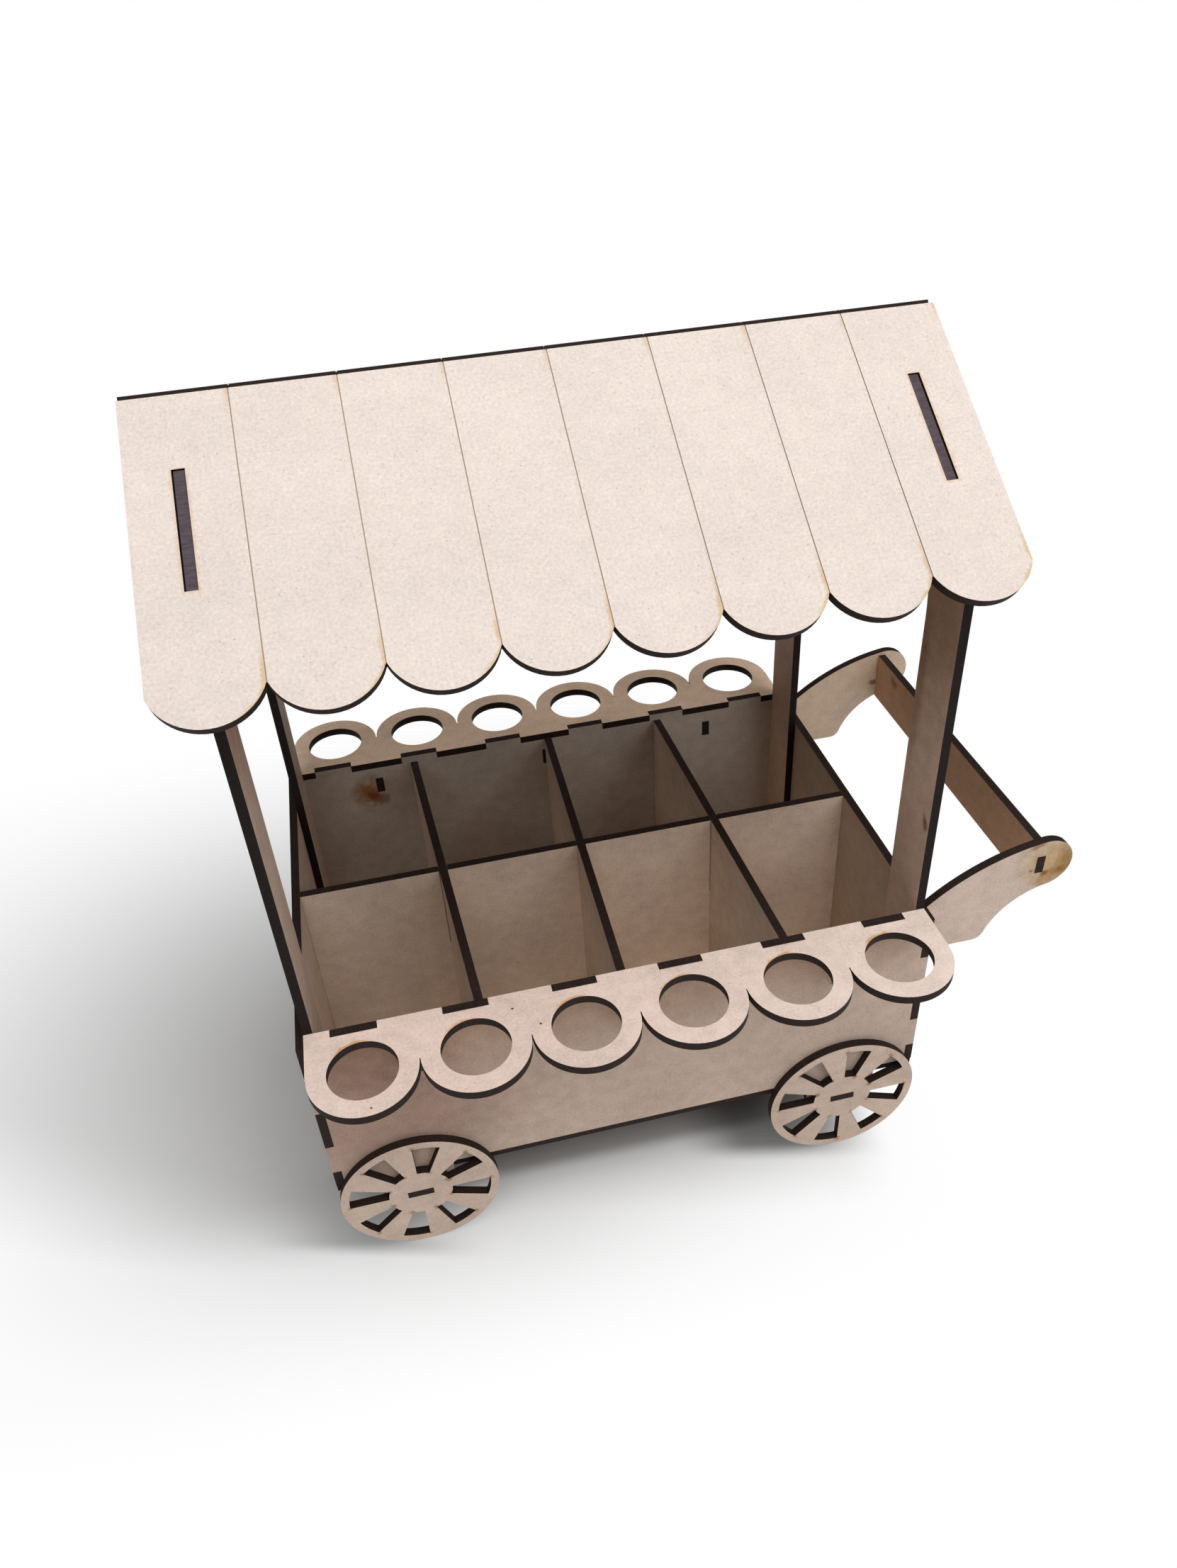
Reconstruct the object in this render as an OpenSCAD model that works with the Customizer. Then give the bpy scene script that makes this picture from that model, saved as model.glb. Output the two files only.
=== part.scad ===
// Tabletop candy cart, glued up from flat laser-cut boards: a divided box on four
// spoked wheels, two cup shelves, a push handle and a striped gable roof.
// Millimetres, +Z up, the wheels stand on Z = 0 and the front faces -Y.

/* [Board] */
// Thickness of the board that every piece is cut from
board_t = 3; // [2.5:0.1:4]
// Play left round each tab and in each slot
fit_gap = 0.1; // [0.05:0.05:0.2]

/* [Box] */
// Inside length of the box
box_l = 208; // [180:1:260]
// Inside width of the box
box_w = 139; // [120:1:180]
// Height of the four walls
wall_h = 72; // [60:1:110]
// How far the bottom of the walls lies above the wheel centres
wall_lift = 10; // [9:0.5:14]
// Height of one finger where an end wall shows through a long wall
finger_h = 18; // [12:1:22]
// Height of the long wall between two fingers
finger_space = 14; // [10:1:20]
// How far the floor stays back from the faces of the long walls
floor_inset = 0.4; // [0:0.1:1]
// Width of the two tabs under each end wall
floor_tab_w = 16; // [10:1:24]
// Distance of those tabs from the middle of the end wall
floor_tab_y = 34; // [25:1:45]

/* [Dividers] */
// Turn of the left cross divider in its loose half-lap, in degrees
left_skew_angle = 3; // [-3:0.1:3]
// Turn of the middle cross divider, in degrees
middle_skew_angle = -1; // [-3:0.1:3]
// Turn of the right cross divider, in degrees
right_skew_angle = 2.6; // [-3:0.1:3]

/* [Cup shelves] */
// Number of cups on each shelf
cups = 6; // [4:2:8]
// Diameter of a cup hole
cup_bore = 22; // [16:0.5:24]
// Distance of the cup holes from the inner edge of the shelf
cup_inset = 18.4; // [16:0.2:24]
// Slit left between two neighbouring lobes
lobe_slit = 0.3; // [0.2:0.1:2]
// Length of the wall tabs that show in the shelf
shelf_tab_l = 14.6; // [8:0.2:20]
// What the row of wall tabs stays short of the box length
shelf_tab_margin = 1.6; // [0:0.2:6]
// How far a shelf bracket reaches out under the shelf
bracket_reach = 14; // [10:0.5:15]
// Height of a shelf bracket
bracket_h = 18; // [14:1:26]
// Width of the blunt ends of a bracket
bracket_nib = 3; // [2:0.5:5]
// Height of the bracket's tab in the wall
bracket_tab_h = 7; // [5:0.5:8]
// Depth of that tab's upper edge under the top of the wall
bracket_tab_drop = 5.3; // [4:0.1:6]

/* [Posts and roof] */
// Width of a post
post_w = 20; // [14:0.5:28]
// Height of the ridge, at the inner corners of the roof boards
ridge_z = 290.3; // [260:0.1:340]
// Slope of the roof in degrees
roof_slope = 34.3; // [28:0.1:40]
// Width of the arch's rim under the roof boards
arch_rim = 12; // [9:0.5:20]
// Number of stripes on each roof board
stripes = 8; // [6:1:10]
// How far the roof boards reach past the inside of the box at each end
roof_over = 12.6; // [8:0.2:20]
// Distance along the slope from the ridge to the cusps
roof_drop = 87.3; // [86:0.1:110]
// How far a scallop hangs below its cusps
scallop_h = 10.2; // [6:0.1:13]
// Distance along the slope from the ridge to the roof slot
slot_start = 23.5; // [18:0.1:30]
// Length of the roof slot
slot_l = 36.2; // [20:0.1:44]
// Extra play in that slot on the outer side of the end frame
slot_slack = 0.35; // [0:0.05:1]
// How far the end frame's tabs stay under the face of the roof
roof_tab_dip = 0.4; // [0:0.1:1]
// Play at each end of those tabs
roof_tab_gap = 0.3; // [0.1:0.1:0.6]
// Width of a score line between two stripes
score_w = 0.3; // [0.3:0.1:0.8]
// Depth of a score line
score_d = 0.3; // [0.2:0.1:0.6]

/* [Handle] */
// Distance from the end wall to the centre of an arm's round nose
arm_reach = 42.5; // [36:0.5:60]
// Height of that centre above the top of the wall
arm_rise = 9.4; // [6:0.2:14]
// Radius of the nose
nose_r = 10; // [9:0.2:12]
// Radius of the long curve along the top of an arm
arm_top_r = 76; // [75:1:120]
// Radius of the hollow curve under an arm
arm_under_r = 28; // [26:0.5:40]
// Height of an arm where it meets the end wall
arm_root_h = 21; // [18:0.5:30]
// Length of the straight underside of an arm
arm_root_l = 22.8; // [18:0.2:26]
// Radius at the end of that straight underside
arm_heel_r = 4; // [2:0.5:6]
// Distance of an arm from the inner face of the long wall
arm_inset = 3; // [2:0.5:8]
// Height of an arm's tab in the end wall
arm_tab_h = 12; // [6:0.5:14]
// Height of the handle bar
bar_h = 20; // [14:0.5:24]
// Height of the bar's tab in an arm
bar_tab_h = 7.2; // [5:0.2:9]
// How far the bar's middle lies short of the nose centre
bar_back = 2; // [0:0.2:4]
// How far the middle of the bar's tab lies above the middle of the bar
bar_tab_up = 0.7; // [0:0.1:3]

/* [Wheels] */
// Diameter of a wheel
wheel_d = 56; // [46:1:64]
// Distance of a wheel's centre from the outside of the end wall
wheel_inset = 27.8; // [27.5:0.1:50]
// Width of a wheel's rim
rim_w = 3; // [2.5:0.1:6]
// Diameter of the round hub
hub_d = 22.4; // [18:0.2:26]
// Number of spokes
spokes = 8; // [6:1:12]
// Width of the lug on the wall behind a wheel
lug_w = 26; // [20:0.5:30]
// Width of the axle board between the walls
axle_w = 20; // [14:0.5:26]
// Width of the axle board's tab in the hub
axle_tab_w = 9; // [6:0.2:12]

/* [Hidden] */

$fn = 96;
mdf = "tan";
edge_dip = 1; // how far a piece that is joined on reaches into its own board

half_l = box_l / 2;
half_w = box_w / 2;
out_l = half_l + board_t;
out_w = half_w + board_t;
wheel_x = out_l - wheel_inset;
wheel_z = wheel_d / 2;
wall_base = wheel_z + wall_lift;
wall_top = wall_base + wall_h;
slot_t = board_t + 2 * fit_gap;
finger_pitch = finger_h + finger_space;
finger_count = ceil((wall_h - fit_gap) / finger_pitch);
cup_pitch = box_l / cups;
shelf_tab_pitch = (2 * out_l - shelf_tab_margin) / cups;
cell_l = box_l / 4;
skews = [left_skew_angle, middle_skew_angle, right_skew_angle];
roof_l = box_l + 2 * roof_over;
stripe_w = roof_l / stripes;
post_in = half_w - post_w;
eave_z = ridge_z - half_w * tan(roof_slope);
arch_z = ridge_z - (post_in + arch_rim) / cos(roof_slope);
scallop_r = (pow(stripe_w / 2, 2) + pow(scallop_h, 2)) / (2 * scallop_h);

// The nose, the curve above it and the hollow below it touch without a corner
nose = [arm_reach, arm_rise];
heel = [arm_root_l, -arm_root_h];
top_centre = meet([0, 0], arm_top_r, nose, arm_top_r - nose_r);
under_centre = meet(heel, arm_under_r, nose, arm_under_r + nose_r);
top_touch = nose + nose_r * unit(nose - top_centre);
under_touch = nose + nose_r * unit(under_centre - nose);
heel_z = arm_heel_r - arm_root_h;
heel_x = under_centre.x
    - sqrt(pow(arm_under_r + arm_heel_r, 2) - pow(heel_z - under_centre.y, 2));
heel_centre = [heel_x, heel_z];
heel_touch = under_centre + arm_under_r * unit(heel_centre - under_centre);
arm_y = half_w - arm_inset;
bar_x = arm_reach - bar_back;
bar_z = arm_rise - bar_tab_up - edge_dip;
arm_tab_z = -arm_root_h / 2;

// The box is set off the origin so that the origin lies under the middle of the cart
reach_l = out_l + arm_reach + nose_r;
cart_x = (roof_l / 2 - reach_l) / 2;

function unit(v) = v / norm(v);
// Point at distance ra from a and rb from b, on the right-hand side going from a to b
function meet(a, ra, b, rb) =
    let (d = norm(b - a), u = (b - a) / d, s = (ra * ra - rb * rb + d * d) / (2 * d))
    a + s * u + sqrt(ra * ra - s * s) * [u.y, -u.x];
// Width of the half-lap slot that lets a board stand turned by this many degrees
function lap_w(turn) = board_t / cos(turn) + board_t * tan(abs(turn)) + 2 * fit_gap;
// Upper and lower edge of one finger of an end wall, counted from the top
function finger_top(i) = wall_top - i * finger_pitch;
function finger_low(i) = max(finger_top(i) - finger_h, wall_base);
function shelf_tab_x(i) = (i - (cups - 1) / 2) * shelf_tab_pitch;
// Point d along the roof slope from the ridge and h above it, in Y and Z
function on_slope(d, h) = [d * cos(roof_slope) + h * sin(roof_slope),
    ridge_z - d * sin(roof_slope) + h * cos(roof_slope)];
function cup_x(i) = (i - (cups - 1) / 2) * cup_pitch;

module cart() { translate([cart_x, 0, 0]) children(); }
module in_back() { mirror([0, 1, 0]) children(); }
// A board that faces the front, drawn in X and Z, with its front face at y
module upright(y) {
    translate([0, y + board_t, 0]) rotate([90, 0, 0]) linear_extrude(board_t) children();
}
// A board that faces the ends, drawn in Y and Z, with its left face at x
module crosswise(x) {
    translate([x, 0, 0]) rotate([90, 0, 90]) linear_extrude(board_t) children();
}
module block(x, z, w, h) { translate([x - w / 2, z]) square([w, h]); }

// ---- box ----
module finger_notches() {
    for (side = [-1, 1], i = [0 : finger_count - 1])
        block(side * (half_l + board_t), finger_low(i) - fit_gap,
            2 * board_t, finger_top(i) - finger_low(i) + 2 * fit_gap);
}
module wall_outline() {
    difference() {
        union() {
            block(0, wall_base, 2 * out_l, wall_h);
            for (i = [0 : cups - 1])
                block(shelf_tab_x(i), wall_top - edge_dip, shelf_tab_l, board_t + edge_dip);
        }
        finger_notches();
        for (side = [-1, 0, 1])
            block(side * 2 * shelf_tab_pitch,
                wall_top - bracket_tab_drop - bracket_tab_h - fit_gap,
                slot_t, bracket_tab_h + 2 * fit_gap);
    }
}
module axle_slot() {
    translate([0, wheel_z]) square([axle_tab_w + 2 * fit_gap, slot_t], center = true);
}
module long_wall() {
    upright(-out_w) difference() {
        union() {
            wall_outline();
            for (side = [-1, 1]) {
                block(side * wheel_x, wheel_z, lug_w, wall_lift + edge_dip);
                translate([side * wheel_x, wheel_z]) circle(d = lug_w);
            }
        }
        for (side = [-1, 1]) translate([side * wheel_x, 0]) axle_slot();
    }
}
module front_wall() { color(mdf) cart() long_wall(); }
module back_wall() { color(mdf) cart() in_back() long_wall(); }

module end_wall_outline() {
    block(0, wall_base, box_w, wall_h);
    for (i = [0 : finger_count - 1])
        block(0, finger_low(i), 2 * out_w, finger_top(i) - finger_low(i));
    for (side = [-1, 1])
        block(side * floor_tab_y, wall_base - board_t, floor_tab_w, board_t + edge_dip);
}
module left_end_wall() { color(mdf) cart() crosswise(-out_l) end_wall_outline(); }
module right_end_wall() {
    color(mdf) cart() crosswise(half_l) difference() {
        end_wall_outline();
        for (side = [-1, 1])
            translate([side * (arm_y - board_t / 2), wall_top + arm_tab_z])
                square([slot_t, arm_tab_h + 2 * fit_gap], center = true);
    }
}
module floor_board() {
    color(mdf) cart() translate([0, 0, wall_base - board_t]) linear_extrude(board_t)
        difference() {
            square([2 * out_l, 2 * (out_w - floor_inset)], center = true);
            for (x = [-1, 1], y = [-1, 1]) {
                translate([x * wheel_x, y * (half_w + board_t)])
                    square([lug_w + 2 * fit_gap, 2 * board_t], center = true);
                translate([x * (half_l + board_t), y * floor_tab_y])
                    square([2 * board_t, floor_tab_w + 2 * fit_gap], center = true);
            }
        }
}

// ---- dividers, crossed in half-laps ----
module long_divider() {
    color(mdf) cart() upright(-board_t / 2) difference() {
        block(0, wall_base, box_l - 2 * fit_gap, wall_h);
        for (i = [0 : 2])
            block((i - 1) * cell_l, wall_base + wall_h / 2, lap_w(skews[i]), wall_h);
    }
}
module cross_divider(i) {
    turn = skews[i];
    length = (box_w - 2 * fit_gap - board_t * sin(abs(turn))) / cos(turn);
    color(mdf) cart() translate([(i - 1) * cell_l, 0, 0]) rotate([0, 0, turn])
        crosswise(-board_t / 2) difference() {
            block(0, wall_base, length, wall_h);
            block(0, wall_base - wall_h, lap_w(turn), 3 * wall_h / 2 + fit_gap);
        }
}
module left_divider() { cross_divider(0); }
module middle_divider() { cross_divider(1); }
module right_divider() { cross_divider(2); }

// ---- cup shelves ----
module shelf() {
    lobe_r = (cup_pitch - lobe_slit) / 2;
    cart() translate([0, -half_w, wall_top]) linear_extrude(board_t) difference() {
        union() {
            translate([-half_l, -cup_inset]) square([box_l, cup_inset]);
            for (i = [0 : cups - 1]) translate([cup_x(i), -cup_inset]) circle(r = lobe_r);
        }
        for (i = [0 : cups - 1]) {
            translate([cup_x(i), -cup_inset]) circle(d = cup_bore);
            translate([shelf_tab_x(i), 0])
                square([shelf_tab_l + 2 * fit_gap, 2 * (board_t + fit_gap)], center = true);
        }
    }
}
module front_shelf() { color(mdf) shelf(); }
module back_shelf() { color(mdf) in_back() shelf(); }

module bracket(side) {
    cart() translate([side * 2 * shelf_tab_pitch, 0, 0]) crosswise(-board_t / 2)
        translate([-out_w, wall_top]) {
            polygon([[0, 0], [-bracket_reach, 0], [-bracket_reach, -bracket_nib],
                [-bracket_nib, -bracket_h], [0, -bracket_h]]);
            translate([-edge_dip, -bracket_tab_drop - bracket_tab_h])
                square([board_t + edge_dip, bracket_tab_h]);
        }
}
module front_left_bracket() { color(mdf) bracket(-1); }
module front_middle_bracket() { color(mdf) bracket(0); }
module front_right_bracket() { color(mdf) bracket(1); }
module back_left_bracket() { color(mdf) in_back() bracket(-1); }
module back_middle_bracket() { color(mdf) in_back() bracket(0); }
module back_right_bracket() { color(mdf) in_back() bracket(1); }

// ---- end frames: two posts under a gable whose tabs hold the roof ----
module end_frame_outline() {
    tab_from = slot_start + roof_tab_gap;
    tab_to = slot_start + slot_l - roof_tab_gap;
    tab_h = board_t - roof_tab_dip;
    side = [[0, ridge_z], on_slope(tab_from, 0), on_slope(tab_from, tab_h),
        on_slope(tab_to, tab_h), on_slope(tab_to, 0), [half_w, eave_z], [half_w, wall_base]];
    difference() {
        polygon(concat(side, [for (i = [len(side) - 1 : -1 : 1]) [-side[i].x, side[i].y]]));
        block(0, wall_base - edge_dip, 2 * post_in, arch_z - wall_base + edge_dip);
        translate([0, arch_z]) circle(r = post_in);
    }
}
module left_end_frame() { color(mdf) cart() crosswise(-half_l) end_frame_outline(); }
module right_end_frame() {
    color(mdf) cart() crosswise(half_l - board_t) end_frame_outline();
}

module roof_outline() {
    scallop_y = scallop_r - scallop_h - roof_drop;
    intersection() {
        union() {
            translate([-roof_l / 2, scallop_y]) square([roof_l, -scallop_y]);
            for (i = [0 : stripes - 1])
                translate([(i - (stripes - 1) / 2) * stripe_w, scallop_y])
                    circle(r = scallop_r);
        }
        translate([-roof_l / 2, -2 * roof_drop]) square([roof_l, 2 * roof_drop]);
    }
}
module roof_board() {
    cart() translate([0, 0, ridge_z]) rotate([roof_slope, 0, 0]) difference() {
        linear_extrude(board_t) difference() {
            roof_outline();
            for (side = [-1, 1])
                translate([side * (half_l - (board_t - slot_slack) / 2),
                    -slot_start - slot_l / 2])
                    square([slot_t + slot_slack, slot_l], center = true);
        }
        for (i = [1 : stripes - 1])
            translate([(i - stripes / 2) * stripe_w - score_w / 2, -roof_drop - edge_dip,
                board_t - score_d]) cube([score_w, roof_drop + 2 * edge_dip, board_t]);
    }
}
module front_roof() { color(mdf) roof_board(); }
module back_roof() { color(mdf) in_back() roof_board(); }

// ---- push handle ----
module arm_outline() {
    difference() {
        union() {
            intersection() {
                translate(top_centre) circle(r = arm_top_r, $fn = 4 * $fn);
                polygon([[0, -arm_root_h], [under_touch.x, -arm_root_h], under_touch, nose,
                    top_touch, [top_touch.x, arm_rise + 2 * nose_r],
                    [0, arm_rise + 2 * nose_r]]);
            }
            translate(nose) circle(r = nose_r);
            translate([-board_t, arm_tab_z - arm_tab_h / 2])
                square([board_t + edge_dip, arm_tab_h]);
        }
        translate(under_centre) circle(r = arm_under_r, $fn = 2 * $fn);
        difference() {
            polygon([heel_centre, [heel_centre.x, -arm_root_h - edge_dip],
                heel + [edge_dip, -edge_dip], heel_touch + [edge_dip, 0], heel_touch]);
            translate(heel_centre) circle(r = arm_heel_r);
        }
        translate([bar_x, arm_rise]) square([slot_t, bar_tab_h + 2 * fit_gap], center = true);
    }
}
module handle_arm() {
    cart() translate([out_l, 0, wall_top]) upright(-arm_y) arm_outline();
}
module front_handle_arm() { color(mdf) handle_arm(); }
module back_handle_arm() { color(mdf) in_back() handle_arm(); }
module handle_bar() {
    color(mdf) cart() translate([out_l + bar_x, 0, wall_top]) crosswise(-board_t / 2) {
        block(0, bar_z - bar_h / 2, 2 * (arm_y - board_t), bar_h);
        block(0, arm_rise - bar_tab_h / 2, 2 * arm_y, bar_tab_h);
    }
}

// ---- wheels and axle boards ----
module window(i) {
    from = (i + 0.5) * 360 / spokes;
    to = (i + 1) * 360 / spokes;
    intersection() {
        difference() {
            circle(d = wheel_d - 2 * rim_w);
            circle(d = hub_d);
        }
        polygon([[0, 0], wheel_d * [cos(from), sin(from)], wheel_d * [cos(to), sin(to)]]);
    }
}
module wheel(side) {
    cart() translate([side * wheel_x, 0, 0]) upright(-out_w - board_t) difference() {
        translate([0, wheel_z]) difference() {
            circle(d = wheel_d);
            for (i = [0 : spokes - 1]) window(i);
        }
        axle_slot();
    }
}
module front_left_wheel() { color(mdf) wheel(-1); }
module front_right_wheel() { color(mdf) wheel(1); }
module back_left_wheel() { color(mdf) in_back() wheel(-1); }
module back_right_wheel() { color(mdf) in_back() wheel(1); }

module axle_board(side) {
    color(mdf) cart() translate([side * wheel_x, 0, wheel_z - board_t / 2])
        linear_extrude(board_t) {
            square([axle_w, box_w], center = true);
            square([axle_tab_w, 2 * (out_w + board_t)], center = true);
        }
}
module left_axle_board() { axle_board(-1); }
module right_axle_board() { axle_board(1); }

front_wall();
back_wall();
left_end_wall();
right_end_wall();
floor_board();
long_divider();
left_divider();
middle_divider();
right_divider();
front_shelf();
back_shelf();
front_left_bracket();
front_middle_bracket();
front_right_bracket();
back_left_bracket();
back_middle_bracket();
back_right_bracket();
left_end_frame();
right_end_frame();
front_roof();
back_roof();
front_handle_arm();
back_handle_arm();
handle_bar();
left_axle_board();
right_axle_board();
front_left_wheel();
front_right_wheel();
back_left_wheel();
back_right_wheel();
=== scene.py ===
"""Finishes a laser-cut candy cart: raw board faces, charred edges, score lines and the laser's marks."""
import math

import bpy
import numpy as np
from bpy.props import FloatProperty, FloatVectorProperty, PointerProperty
from mathutils import Matrix, Vector


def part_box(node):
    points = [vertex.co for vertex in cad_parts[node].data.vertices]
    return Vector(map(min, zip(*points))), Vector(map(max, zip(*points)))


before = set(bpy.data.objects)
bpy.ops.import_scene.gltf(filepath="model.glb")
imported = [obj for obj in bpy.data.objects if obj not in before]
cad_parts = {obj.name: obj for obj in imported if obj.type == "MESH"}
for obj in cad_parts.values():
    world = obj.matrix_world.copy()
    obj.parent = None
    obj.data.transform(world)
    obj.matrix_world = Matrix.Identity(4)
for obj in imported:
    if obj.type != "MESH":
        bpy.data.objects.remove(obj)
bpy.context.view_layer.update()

bl_info = {
    "name": "Candy cart finish",
    "version": (1, 0, 0),
    "blender": (4, 5, 0),
    "location": "3D View > Sidebar > Candy cart",
    "description": "Finishes a laser-cut fibreboard candy cart and sets up its studio",
    "category": "Object",
}

MM = 0.001

# Sizes of the cart that its finish follows, read from the frame
BOX_X = sum(corner.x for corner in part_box("front_wall")) / 2
WALL_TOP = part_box("left_end_wall")[1].z
STRIPES = 8
STRIPE_MM = (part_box("front_roof")[1].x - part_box("front_roof")[0].x) / STRIPES / MM
WHEEL_MM = (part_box("front_left_wheel")[1].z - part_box("front_left_wheel")[0].z) / MM
CUP_PITCH_MM = (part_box("front_shelf")[1].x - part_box("front_shelf")[0].x) / 6 / MM

# Sizes that the frame's boxes don't tell, in millimetres
ROOF_DROP_MM = 87.3
SCALLOP_MM = 10.2
SCORE_DEPTH_MM = 0.3
SLOT_X_MM = 102.7
SLOT_HALF_MM = 1.8
SLOT_FROM_MM = 23.5
SLOT_TO_MM = 59.7
SPOKES = 8
WINDOW_IN_MM = 11.2
WINDOW_OUT_MM = 25.0
CUP_R_MM = 11.0
LOBE_R_MM = 17.2
ROOF_PITCH = math.radians(34.3)
ROOF_NORMAL = (0, math.sin(ROOF_PITCH), math.cos(ROOF_PITCH))
FRONT, BACK, LEFT, RIGHT, UP = (0, -1, 0), (0, 1, 0), (-1, 0, 0), (1, 0, 0), (0, 0, 1)

# The face of the board, in millimetres: tufts, blotches, and the noise that bends the loose fibres
TUFT_MM = 5
BLOTCH_MM = 14
BEND_MM = 2
BEND_BY_MM = 1.4
RELIEF_MM = 0.08
# Loose fibres: the width of a cell, a fibre's length and width, and the share of cells that have one
PALE_FIBRES = (5.0, 2.6, 0.32, 0.4)
DARK_FIBRES = (3.4, 1.4, 0.30, 0.4)
SPECKS = (9.0, 0.65, 0.28, 0.5)
# How many streaks a millimetre has along the burnt edge, and through its thickness
STREAKS = (1.6, 1.6, 0.3)
# How deep a mark reaches into the board, in millimetres
MARK_DEPTH_MM = 2.2
# How much of its normal a board's face has along the board's own direction, at least, and how much of it a
# tab's end has along the roof's
FACE_SHARE = 0.7
SLOPE_SHARE = 0.999

# Smoke beside the cuts: the distances in millimetres at which it ends and at which it is full
RIDGE_SMOKE, RIDGE_SMOKE_DOWN = (1.9, 0.3), (8.5, 1.0)
CUSP_SMOKE, CUSP_SMOKE_DOWN = (1.5, 0.3), (ROOF_DROP_MM - 14, ROOF_DROP_MM - 2)
RIM_SMOKE, RIM_SMOKE_SIDE, RIM_SMOKE_DOWN = (1.1, 0.2), (4.0, 13.0), (ROOF_DROP_MM - 3, ROOF_DROP_MM)
SLOT_SMOKE = (1.2, 0.1)
CUP_SMOKE = (CUP_R_MM + 1.2, CUP_R_MM + 0.1)
CUP_HEADING = (0.86, 1.04)
WINDOW_SMOKE = (1.6, 0.1)

# Where the cart's shadow shows on the paper. The left and under patches let the lamps' own shadow show
# through the white; the two wheel patches and the middle one are painted shadows. For each: how dark a
# shade is, then in millimetres from the middle of the box the x at which it starts, is full, is still
# full and ends, the same for y, and the front edge as a slant and the values of y + slant * x at which
# the shade starts and is full
FAR = -2000
LEFT_SHADE = (0.97, (-422, -85, 72, 106), (-113, -41, 14, 286), 0.68, (-233, -133))
UNDER_SHADE = (1.0, (-303, 5, -91, 137), (-139, -30, 66, 96), 0, (FAR, FAR + 1))
LEFT_WHEEL_SHADE = (0.81, (-150, -108, -107, -55), (FAR, FAR + 1, -102, -31), 0.3, (-109, -102))
RIGHT_WHEEL_SHADE = (0.69, (18, 47, 57, 101), (FAR, FAR + 1, -15, 64), 0.24, (-65, -56))
MIDDLE_SHADE = (0.45, (-76, -72, 50, 67), (FAR, FAR + 1, 66, 96), 0.02, (-61, -54))
# Painted shade: the shaded paper is painted darker to the camera, showing this share of its own paleness
SHADED_PAPER = 0.83
FLOOR_RADIUS = 4.0

# The camera: its place in millimetres from the middle of the box, the ways right and ahead, and its shift
CAMERA_MM = (-56.14, -324.47, 390.93)
CAMERA_RIGHT = (0.974056, -0.220396, -0.051387)
CAMERA_AHEAD = (0.148605, 0.794161, -0.589258)
CAMERA_SHIFT = (0.00102, -0.01936)

# Each softbox: its name, the property with its power, and its azimuth and height in degrees
SOFTBOXES = (("front_softbox", "front_power", 0, 70), ("right_softbox", "right_power", 45, 50),
             ("low_softbox", "low_power", 45, 20), ("left_softbox", "left_power", -45, 50),
             ("back_softbox", "back_power", 180, 70))


def srgb(code):
    """A colour written as sRGB hex, as linear RGBA: each channel c becomes ((c + 0.055) / 1.055) ** 2.4."""
    channels = [int(code[i:i + 2], 16) / 255 for i in (0, 2, 4)]
    return tuple(c / 12.92 if c <= 0.04045 else ((c + 0.055) / 1.055) ** 2.4 for c in channels) + (1.0,)


def scaled(colour, factor):
    """A linear colour, lighter or darker by a factor."""
    return tuple(c * factor for c in colour[:3]) + (1.0,)


def add(tree, kind, inputs=(), out=0, **settings):
    """Adds one node with its settings and links. inputs holds the values of its sockets, in their order
    or by name or number, and a value that is a socket feeds the input. Returns the output that out
    names, or all of them where out is None."""
    node = tree.nodes.new("ShaderNode" + kind)
    for key, value in settings.items():
        setattr(node, key, value)
    for key, value in (inputs.items() if isinstance(inputs, dict) else enumerate(inputs)):
        if isinstance(value, bpy.types.NodeSocket):
            tree.links.new(value, node.inputs[key])
        else:
            node.inputs[key].default_value = value
    return node.outputs if out is None else node.outputs[out]


def distance(tree, x, y):
    """How far the point (x, y) lies from the origin."""
    both = add(tree, "CombineXYZ", (x, y))
    return add(tree, "VectorMath", (both,), out="Value", operation="LENGTH")


def haze(tree, rough, wander, way, ends):
    """1 where way is at or under the second end, 0 past the first, with a smooth step between. wander is
    how many millimetres the edge strays."""
    strayed = add(tree, "Math", (rough, wander, way), operation="MULTIPLY_ADD")
    return add(tree, "MapRange", (strayed, *ends), interpolation_type="SMOOTHSTEP")


def stain_and_shade(tree, face, mask, strength, tone):
    """Darkens the face as a stain does, and for the marks that stand for shade as painted shade: it
    multiplies the face by the tone where mask times strength is 1, so the fibres stay visible through it."""
    share = add(tree, "Math", (mask, strength), operation="MULTIPLY")
    return add(tree, "Mix", {0: share, 6: face, 7: srgb(tone)}, out=2, data_type="RGBA",
               blend_type="MULTIPLY")


def at(x, y, z):
    """A point of the cart: x and y in millimetres from the middle of the box, z above the floor."""
    return Vector((BOX_X + x * MM, y * MM, z * MM))


def board_frame(node, out):
    """The axes of a flat board. w is the direction in which most of its area faces, the strongest
    eigenvector of the sum of area * normal * normal, on the side that out names. u lies level in the
    board and v = w x u runs up it. The origin is the middle of its lower edge on the outer face, or of
    its upper edge, at the ridge, on a roof board."""
    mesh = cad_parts[node].data
    normal = np.empty(len(mesh.polygons) * 3)
    area = np.empty(len(mesh.polygons))
    points = np.empty(len(mesh.vertices) * 3)
    mesh.polygons.foreach_get("normal", normal)
    mesh.polygons.foreach_get("area", area)
    mesh.vertices.foreach_get("co", points)
    normal, points = normal.reshape(-1, 3), points.reshape(-1, 3)
    w = np.linalg.eigh((normal * area[:, None]).T @ normal)[1][:, 2]
    w = Vector(w if w @ np.array(out) > 0 else -w)
    u = Vector((1, 0, 0)) if abs(w.z) > 0.99 else Vector((0, 0, 1)).cross(w).normalized()
    v = w.cross(u)
    along = points @ np.array([u, v, w]).T
    low, high = along.min(axis=0), along.max(axis=0)
    origin = u * ((low[0] + high[0]) / 2) + v * (high[1] if "roof" in node else low[1]) + w * high[2]
    return origin, u, v, w


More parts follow.
